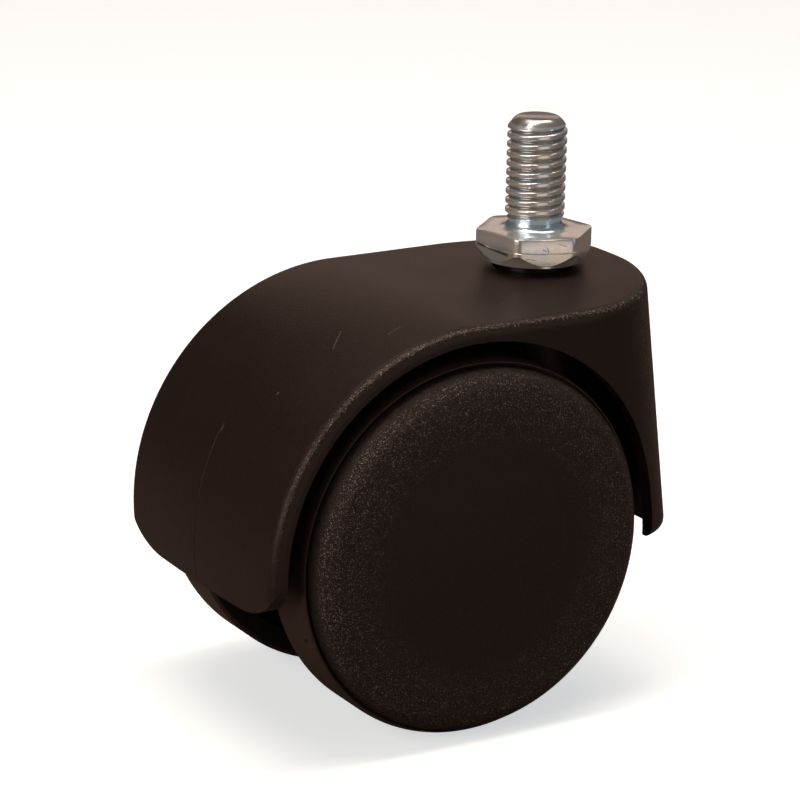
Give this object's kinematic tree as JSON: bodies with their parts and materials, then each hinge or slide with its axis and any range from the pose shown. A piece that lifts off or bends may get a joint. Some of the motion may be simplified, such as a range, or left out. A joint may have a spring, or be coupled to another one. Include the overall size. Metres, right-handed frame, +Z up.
{
  "type": "chair caster wheel",
  "caption": "Twin-wheel swivel caster for an office chair: black hood over two covered wheels, with a zinc-plated threaded stem and hexagon flange.",
  "frame": {"origin": "stem axis at the top face of the hexagon flange, the face that the chair base rests on", "axes": "+Z up along the stem, +X the way the caster rolls so that the wheels trail at -X, +Y along the axle to the left wheel"},
  "size_m": [0.0632, 0.0454, 0.0758],
  "materials": {
    "hood_plastic": "black moulded nylon, fine satin grain, slightly warm",
    "wheel_plastic": "black-brown hard nylon tread, smooth satin",
    "cover_plastic": "black moulded nylon with a coarser sparkling grain",
    "zinc_plated_steel": "bright zinc plate with faint warm and blue tints",
    "spring_steel": "dark oiled spring steel",
    "washer_steel": "plain zinc-plated washer",
    "axle_steel": "ground steel",
    "bearing_plastic": "dark grey acetal",
    "spacer_plastic": "natural white nylon"
  },
  "bodies": {
    "stem": {"threaded_stem": "zinc_plated_steel", "stem_snap_ring": "spring_steel"},
    "hood": {"hood": "hood_plastic", "stem_bush": "bearing_plastic", "thrust_washer": "washer_steel", "axle": "axle_steel", "left_axle_spacer": "spacer_plastic", "right_axle_spacer": "spacer_plastic", "left_axle_retainer": "spring_steel", "right_axle_retainer": "spring_steel"},
    "left_wheel": {"left_wheel": "wheel_plastic", "left_wheel_cover": "cover_plastic"},
    "right_wheel": {"right_wheel": "wheel_plastic", "right_wheel_cover": "cover_plastic"}
  },
  "joints": [
    {"name": "swivel", "type": "hinge", "parent": "stem", "child": "hood", "pos_m": [0, 0, 0], "axis": [0, 0, 1], "continuous": true},
    {"name": "left_wheel_spin", "type": "hinge", "parent": "hood", "child": "left_wheel", "pos_m": [-0.02, 0.0148, -0.0358], "axis": [0, 1, 0], "continuous": true},
    {"name": "right_wheel_spin", "type": "hinge", "parent": "hood", "child": "right_wheel", "pos_m": [-0.02, -0.0148, -0.0358], "axis": [0, 1, 0], "continuous": true}
  ]
}
